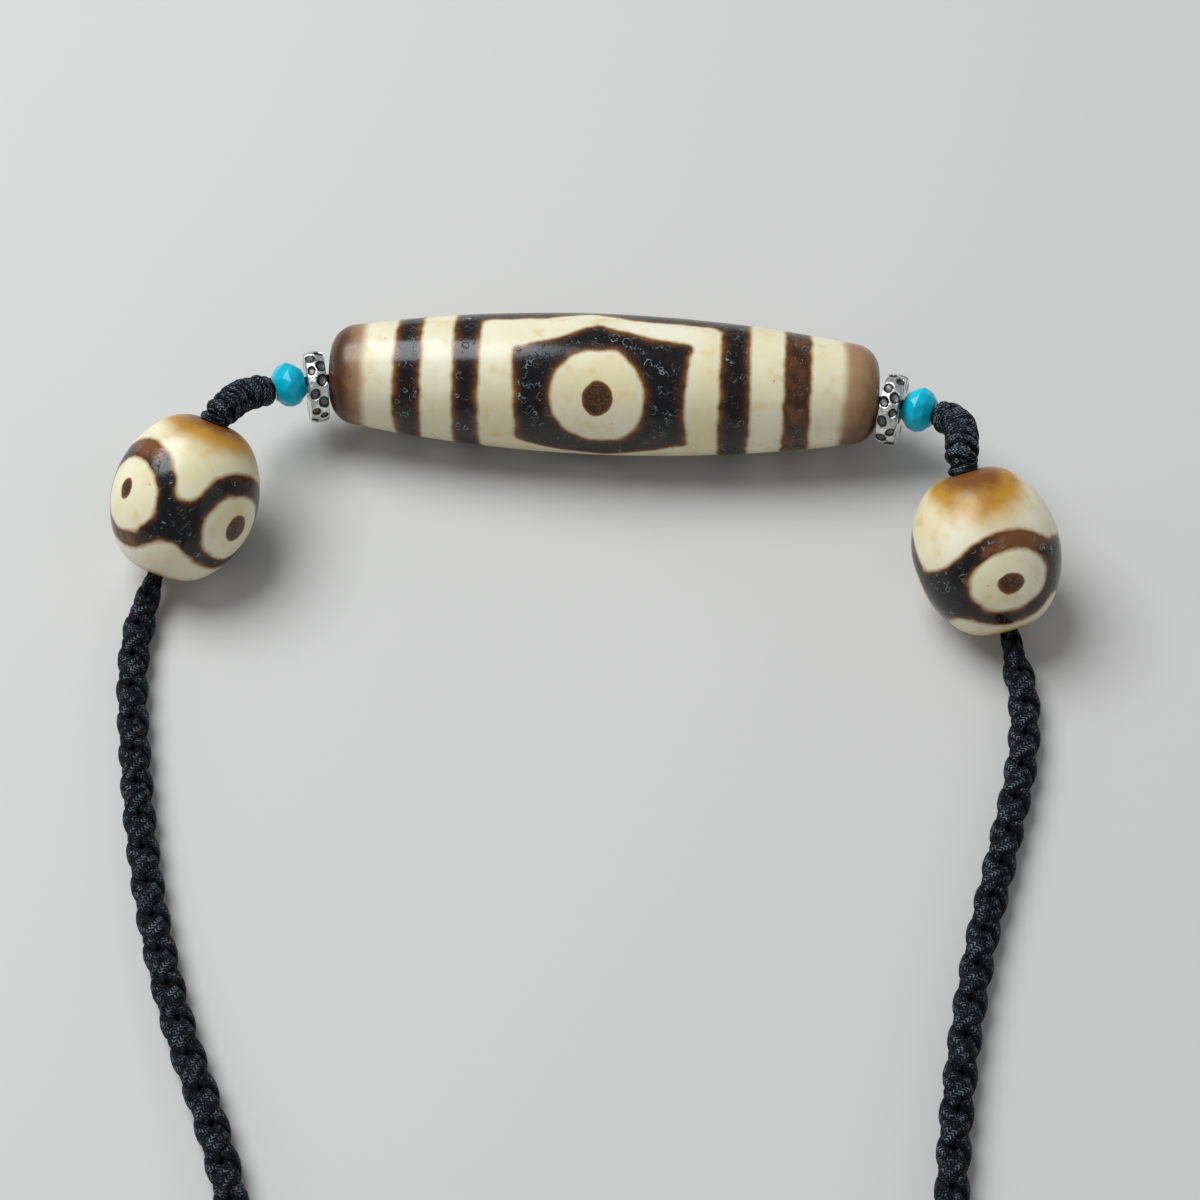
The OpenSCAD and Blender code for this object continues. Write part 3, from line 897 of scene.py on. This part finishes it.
agate = {
    "cream": (0.77, 0.69, 0.43, 1),
    "pale": (0.82, 0.78, 0.60, 1),
    "stain": (0.70, 0.47, 0.15, 1),
    "pit": (0.33, 0.2, 0.07, 1),
    "halo": (0.72, 0.70, 0.55, 1),
    "tan": (0.40, 0.26, 0.10, 1),
    "rim": (0.21, 0.08, 0.02, 1),
    "brown": (0.062, 0.022, 0.008, 1),
    "umber": (0.022, 0.0095, 0.005, 1),
    "black": (0.0045, 0.004, 0.0042, 1),
    "warmBlack": (0.032, 0.0125, 0.006, 1),
    "caramel": (0.18, 0.07, 0.024, 1),
    "pupilRim": (0.17, 0.055, 0.013, 1),
    "pupilBrown": (0.115, 0.052, 0.019, 1),
    "pupilDark": (0.028, 0.013, 0.007, 1),
    "paintedCrackGlint": (0.22, 0.26, 0.28, 1),
    "wobble": (0.56, 0.088),  # how far an edge strays, in broad and in fine waves
    "rampFrom": -0.1,  # the depth in the dark at which its colours start, and that at which they end
    "rampTo": 1.3,
    "cracks": [(0.65, 0.0), (0.85, 3.1), (1.1, 7.3)],  # scale and seed of each set
    "crackRing": 0.3,
    "crackLine": (0.045, 0.01),  # half widths at which a crack fades out and is full
    "crackStray": 0.75,
    "satin": (0.27, 0.36),  # roughness of the cream, from and to
    "gloss": (0.13, 0.22),  # and of the dark
    "bump": 0.06,
    "bumpStrength": 0.8,
    "specular": 0.38,
    "subsurface": 0.06,
    "subsurfaceRadius": (1.0, 0.7, 0.4),
    "subsurfaceDepth": 1.2,
}
agateCaps = {
    "agateLongBead": {"Cap Color": (0.36, 0.21, 0.105, 1), "Cap Deep": (0.068, 0.024, 0.009, 1),
                      "Cap Softness": 0.6, "Rim Width": 1.0},
    "agateRoundBead": {"Cap Color": (0.53, 0.27, 0.03, 1), "Cap Deep": (0.19, 0.06, 0.007, 1),
                       "Cap Softness": 0.7, "Rim Width": 0.55},
}
patternInputs = {"Dark": "darkEdge", "Pupil": "pupilEdge", "Cap": "capEdge", "Brownness": "brownness"}


def etchGroup():
    # colours follow the distance from each edge, with the edge itself moved a little by noise
    group, given, out = newGroup("etchedAgate", [
        ("Place", "Vector"), ("Dark", "Float"), ("Pupil", "Float"), ("Cap", "Float"), ("Brownness", "Float"),
        ("Cap Color", "Color"), ("Cap Deep", "Color"), ("Cap Softness", "Float"), ("Rim Width", "Float")])
    place = given["Place"]
    broad = noise(place, 0.11, 3.0)
    middling = noise(place, 0.55, 3.0)
    fine = noise(place, 3.2, 3.0, 0.6)
    wobble = plus(swing(middling, agate["wobble"][0]), swing(fine, agate["wobble"][1]))
    dark = plus(given["Dark"], wobble)
    pupil = plus(given["Pupil"], times(wobble, 0.7))
    cap = plus(given["Cap"], times(wobble, 0.8))

    # cream ground: cloudy, stained here and there, with small pits and a paler edge along the dark
    ground = blendColours(span(broad, 0.35, 0.65), agate["cream"], agate["pale"])
    ground = blendColours(times(span(middling, 0.5, 0.8), 0.6), ground, agate["stain"])
    ground = blendColours(times(span(dark, -1.0, -0.3), 0.4), ground, agate["halo"])
    pits = cells(place, 0.85)
    size = nextNode("SeparateColor", {0: pits["Color"]}).outputs[0]
    pitMask = times(span(pits["Distance"], 0.14, 0.05), span(size, 0.72, 0.95))
    ground = blendColours(times(pitMask, 0.6), ground, agate["pit"])

    # caps at the drilled ends, with a soft edge
    capMask = span(cap, times(given["Cap Softness"], -1.0), given["Cap Softness"])
    capDepth = plus(cap, swing(middling, 0.8))
    capDepth = plus(capDepth, swing(fine, 0.7))
    capDepth = plus(capDepth, given["Brownness"])
    capColour = blendColours(span(capDepth, 0.3, 2.4), given["Cap Color"], given["Cap Deep"])
    ground = blendColours(capMask, ground, capColour)

    # dark etching: a tan stain outside its edge, then caramel, brown and black
    depth = sums("DIVIDE", plus(dark, swing(middling, 0.7)), given["Rim Width"])
    darkColour = ramp(span(depth, agate["rampFrom"], agate["rampTo"], eased=False),
                      [(0.08, agate["rim"]), (0.32, agate["brown"]), (0.52, agate["umber"]),
                       (0.8, agate["black"])])
    warmth = sums("ADD", given["Brownness"], span(middling, 0.4, 0.75, -0.15, 0.25), clamp=True)
    warm = blendColours(span(warmth, 0.35, 1.0), agate["warmBlack"], agate["caramel"])
    darkColour = blendColours(times(span(warmth, 0.0, 0.6), span(depth, 0.0, 0.4)), darkColour, warm)
    ground = blendColours(times(span(dark, -0.34, -0.05), 0.75), ground, agate["tan"])
    darkMask = span(dark, -0.13, 0.12)

    # fine curled cracks in the dark: broken rings round scattered points; their relief is real, and the pale
    # colour put on them in patches is a painted glint
    stray = nextNode("TexNoise", {"Vector": place, "Scale": 1.5, "Detail": 1.0}).outputs[1]
    bent = shifted(place, scaled(stray, agate["crackStray"]))
    cracks = None
    for scale, seed in agate["cracks"]:
        moved = shifted(bent, (seed, seed * 0.7, seed * 1.3))
        off = sums("ABSOLUTE", minus(cells(moved, scale)["Distance"], agate["crackRing"]))
        line = times(span(off, *agate["crackLine"]), span(noise(moved, scale * 1.5, 1.0), 0.47, 0.55))
        cracks = line if cracks is None else sums("MAXIMUM", cracks, line)
    cracks = times(cracks, span(dark, 0.15, 0.5))
    # patches where the painted glint on the cracks is strong
    glintPatch = span(noise(place, 0.33, 2.0), 0.47, 0.64, 0.06, 1.0)
    darkColour = blendColours(times(cracks, glintPatch), darkColour, agate["paintedCrackGlint"])
    colour = blendColours(darkMask, ground, darkColour)

    # pupils: speckled brown with an orange rim
    speckle = span(noise(place, 4.5, 2.0, 0.7), 0.42, 0.62)
    pupilColour = blendColours(speckle, agate["pupilDark"], agate["pupilBrown"])
    pupilColour = blendColours(span(pupil, 0.38, 0.08), pupilColour, agate["pupilRim"])
    colour = blendColours(span(pupil, -0.1, 0.1), colour, pupilColour)

    satin = span(fine, 0.3, 0.7, *agate["satin"])
    gloss = span(fine, 0.3, 0.7, *agate["gloss"])
    roughness = nextNode("Mix", {0: darkMask, 2: satin, 3: gloss}, data_type="FLOAT").outputs[0]
    relief = minus(times(fine, 0.12), cracks)
    feed(out, {"Color": colour, "Roughness": roughness, "Height": minus(relief, times(pitMask, 0.8))})
    return group


etching = etchGroup()


def agateMaterial(name):
    material, tree, shader = newMaterial(name)
    inputs = {label: attribute(tree, key) for label, key in patternInputs.items()}
    etched = put(tree, "Group", {"Place": inMillimetres(tree), **inputs, **agateCaps[name]},
                 node_tree=etching).outputs
    feed(shader, {"Base Color": etched["Color"], "Roughness": etched["Roughness"],
                  "Subsurface Weight": agate["subsurface"], "Subsurface Radius": agate["subsurfaceRadius"],
                  "Subsurface Scale": agate["subsurfaceDepth"] * mm, "Specular IOR Level": agate["specular"]})
    addBump(shader, etched["Height"], agate["bumpStrength"], agate["bump"])
    return material


def makeBead(name, node, grid, pattern, material):
    makePiece(name, [(*grid[:2], None)], node, material,
              dict(zip(patternInputs.values(), pattern)))


def makeBeads():
    brownCaps, ochreCaps = agateMaterial("agateLongBead"), agateMaterial("agateRoundBead")
    grid = beadGrid(longBead, longMiddle, np.array([1.0, 0, 0]))
    makeBead("long_agate_bead", "long_dzi_bead", grid, longPattern(*grid[2:4]), brownCaps)
    for side in halves:
        grid = beadGrid(roundBead, roundMiddle(side), roundAxis(side))
        makeBead(side + "_agate_bead", side + "_round_bead", grid, roundPattern(side, *grid[2:]), ochreCaps)


makeBeads()

# Silver rings: a crowned band with two staggered rows of hammered oval pits.
ring = {
    "diameter": 7.0,
    "width": 1.8,
    "bore": 2.6,
    "crown": 2.6,
    "edge": 0.12,
    "pits": 11,
    "pitHalfRound": 0.7,
    "pitHalfAcross": 0.54,
    "pitDepth": 0.26,
    "pitCurve": 0.6,  # the lower, the steeper a pit's wall
    # how a pit may differ: its angle in radians and place across, its size, and its tilt
    "stray": (0.08, 0.1),
    "sizes": (0.7, 1.15),
    "tilt": 0.5,
    "plainEdge": 0.8,  # no pit is closer than this to the bore
    "around": 330,
    "seed": 4,
}


def ringProfile():
    # crown arc, small round edges, flat sides and the bore, as one closed line of (axial, radius)
    half, edge, hole = ring["width"] / 2, ring["edge"], ring["bore"] / 2
    axial = np.linspace(-half + edge, half - edge, 34)
    rim = ring["diameter"] / 2 - ring["crown"] + np.sqrt(ring["crown"] ** 2 - axial ** 2)
    corner = arc(half - edge, rim[-1] - edge, edge, 0, np.pi / 2, 6)[1:]
    flat = np.linspace([half, rim[-1] - edge], [half, hole + edge], 8)[1:]
    inner = arc(half - edge, hole + edge, edge, np.pi / 2, np.pi, 6)[1:]
    oneSide = np.vstack([corner, flat, inner])
    bore = np.linspace([half - edge, hole], [-half + edge, hole], 6)[1:]
    return np.vstack([np.stack([axial, rim], 1), oneSide, bore, (oneSide * [-1, 1])[::-1][1:]])


def makeRing(side, material):
    # each pit sinks as a half oval, deepest in its middle, and where two meet the deeper one counts
    axis = heading(side, "ring")
    axial, radius = ringProfile().T[..., None]
    angle = onceRound(ring["around"])
    draw = np.random.default_rng(ring["seed"] + halves[side]["sign"])
    sink = np.zeros((len(axial), ring["around"]))
    strayRound, strayAcross = ring["stray"]
    for row in (0, 1):
        for k in range(ring["pits"]):
            at = 2 * np.pi * (k + row / 2) / ring["pits"] + draw.uniform(-strayRound, strayRound)
            lift = (row - 0.5) * ring["width"] / 2 + draw.uniform(-strayAcross, strayAcross)
            grow = draw.uniform(*ring["sizes"])
            tilt = draw.uniform(-ring["tilt"], ring["tilt"])
            x = wrapped(angle[None, :] - at) * ring["diameter"] / 2
            y = axial - lift
            x, y = x * math.cos(tilt) - y * math.sin(tilt), x * math.sin(tilt) + y * math.cos(tilt)
            away = np.hypot(x / (ring["pitHalfRound"] * grow), y / (ring["pitHalfAcross"] * grow))
            sink = np.maximum(sink, np.clip(1 - away ** 2, 0, 1) ** ring["pitCurve"])
    sink = sink * (radius > ring["bore"] / 2 + ring["plainEdge"])
    depth = radius - ring["pitDepth"] * sink
    points = nodeMiddle(side + "_silver_ring") + axial[..., None] * axis
    points = points + depth[..., None] * spoke(angle, *roundHole(axis))
    makePiece(side + "_hammered_silver_ring",
              [(points.reshape(-1, 3), gridFaces(len(axial), ring["around"], True), None)],
              side + "_silver_ring", material, {"pitDepth": sink})


silverLook = {
    "bright": (0.88, 0.88, 0.85, 1),
    "dull": (0.50, 0.50, 0.48, 1),
    "edge": (0.03, 0.03, 0.03, 1),  # black tarnish and painted shade on a pit's wall
    # floor: grey tarnish and painted shade on a pit's floor
    "floor": (0.17, 0.17, 0.165, 1),
    "bump": 0.16,
    "bumpStrength": 0.8,
}


def silverMaterial():
    material, tree, shader = newMaterial("hammeredSilver")
    place = inMillimetres(tree)
    sink = attribute(tree, "pitDepth")
    scratches = noise(place, 2.4, 4.0, 0.65)
    # tarnish with painted shade: darker on a pit's wall and floor, following the pit's depth
    tarnishAndShade = plus(sink, swing(scratches, 0.5))
    grey = blendColours(span(scratches, 0.35, 0.7), silverLook["bright"], silverLook["dull"])
    colour = blendColours(span(tarnishAndShade, 0.1, 0.42), grey, silverLook["edge"])
    colour = blendColours(span(tarnishAndShade, 0.6, 0.95), colour, silverLook["floor"])
    feed(shader, {"Base Color": colour, "Roughness": span(tarnishAndShade, 0.0, 0.9, 0.3, 0.5), "Metallic": 1.0})
    addBump(shader, noise(place, 1.3, 3.0, 0.6), silverLook["bumpStrength"], silverLook["bump"])
    return material


silver = silverMaterial()
for sideName in halves:
    makeRing(sideName, silver)

# Turquoise beads: five rows of corners, each turned half a facet, round a drilled hole.
stone = {
    "diameter": 4.6,
    "thickness": sleeve["stoneThickness"],
    "facets": 10,
    "bore": 1.4,
    # heights as shares of half the thickness, radii as shares of half the diameter
    "rows": [(-1, 0.55), (-0.52, 0.86), (0, 1), (0.52, 0.86), (1, 0.55)],
    "bevel": 0.07,
    "bevelSegments": 2,
    "bevelAbove": 8,  # degrees between two facets
    "pale": (0.0002, 0.37, 0.53, 1),
    "blue": (0.0003, 0.53, 0.71, 1),
    "vein": (0.001, 0.11, 0.17, 1),
    "specular": 0.2,
    "coat": 0.2,
    "coatRoughness": 0.05,
}


def makeStone(side, material):
    # a belt of triangles from each row to the next, and from the last one back along the hole's wall
    n = stone["facets"]
    axis = heading(side, "stone")
    hole = stone["bore"] / stone["diameter"]
    rows = [(-1, hole, 0)]
    rows += [(height, share, i / 2) for i, (height, share) in enumerate(stone["rows"])]
    rows += [(1, hole, (len(stone["rows"]) - 1) / 2)]
    points = []
    for height, share, turned in rows:
        corners = spoke(2 * np.pi * (np.arange(n) + turned) / n, *roundHole(axis))
        points.append(height * stone["thickness"] / 2 * axis + share * stone["diameter"] / 2 * corners)
    points = np.vstack(points) + nodeMiddle(side + "_turquoise_bead")
    k = np.arange(n)
    faces = []
    for i in range(len(rows)):
        low, high = i * n, (i + 1) % len(rows) * n
        # the last row is turned by whole facets, so its corners are matched to the first row's
        shift = int(rows[i][2]) if high == 0 else 0
        here, following = low + (k - shift) % n, low + (k + 1 - shift) % n
        faces += [np.stack([here, high + k, following], 1),
                  np.stack([following, high + k, high + (k + 1) % n], 1)]
    piece = makePiece(side + "_faceted_turquoise_bead", [(points, np.vstack(faces), None)],
                      side + "_turquoise_bead", material, flat=True)
    bevel = piece.modifiers.new("softEdges", "BEVEL")
    bevel.width = stone["bevel"] * mm
    bevel.segments = stone["bevelSegments"]
    bevel.limit_method = "ANGLE"
    bevel.angle_limit = math.radians(stone["bevelAbove"])


def turquoiseMaterial():
    material, tree, shader = newMaterial("glossyTurquoise")
    place = inMillimetres(tree)
    cloud = noise(place, 0.5, 4.0, 0.6)
    vein = noise(place, 1.4, 5.0, 0.7)
    colour = blendColours(span(cloud, 0.35, 0.65), stone["pale"], stone["blue"])
    colour = blendColours(times(span(vein, 0.62, 0.72), 0.5), colour, stone["vein"])
    feed(shader, {"Base Color": colour, "Roughness": span(vein, 0.3, 0.7, 0.1, 0.2),
                  "Specular IOR Level": stone["specular"], "Coat Weight": stone["coat"],
                  "Coat Roughness": stone["coatRoughness"]})
    return material


turquoise = turquoiseMaterial()
for sideName in halves:
    makeStone(sideName, turquoise)


# Pale floor and soft studio light.
studio = {
    "floorSize": 3.0,
    "floorDrop": 0.02,
    "floorColour": (0.58, 0.565, 0.54, 1),
    "floorRoughness": 0.7,
    "world": (0.9, 0.94, 1.0, 1),
    "worldStrength": 0.31,
    # place in metres from the beads, size in metres, power in watts, colour
    "lights": [
        ("highSoftbox", (-0.31, 0.17, 0.60), 0.52, 5.1, (0.93, 0.97, 1.0)),
        ("leftFill", (-0.60, -0.25, 0.35), 0.60, 0.3, (1.0, 0.97, 0.93)),
        ("rightFill", (0.62, -0.42, 0.30), 0.60, 0.35, (1.0, 0.97, 0.93)),
    ],
}


def makeStudio():
    half = studio["floorSize"] / 2
    low = -studio["floorDrop"] * mm
    mesh = bpy.data.meshes.new("floor")
    mesh.from_pydata([(-half, -half, low), (half, -half, low), (half, half, low), (-half, half, low)],
                     [], [(0, 1, 2, 3)])
    material, _, shader = newMaterial("paleFloor")
    feed(shader, {"Base Color": studio["floorColour"], "Roughness": studio["floorRoughness"]})
    mesh.materials.append(material)
    floor = newObject("floor", mesh)
    world = bpy.data.worlds.new("softWorld")
    world.use_nodes = True
    feed(world.node_tree.nodes["Background"], {0: studio["world"], 1: studio["worldStrength"]})
    bpy.context.scene.world = world
    bpy.context.scene.view_settings.view_transform = "Standard"
    for name, place, size, power, colour in studio["lights"]:
        data = bpy.data.lights.new(name, "AREA")
        data.shape = "DISK"
        data.size = size
        data.energy = power
        data.color = colour
        light = newObject(name, data)
        light.location = Vector(beadOrigin * mm) + Vector(place)
        light.rotation_euler = Vector(place).to_track_quat("Z", "Y").to_euler()


makeStudio()
print("studio lit")
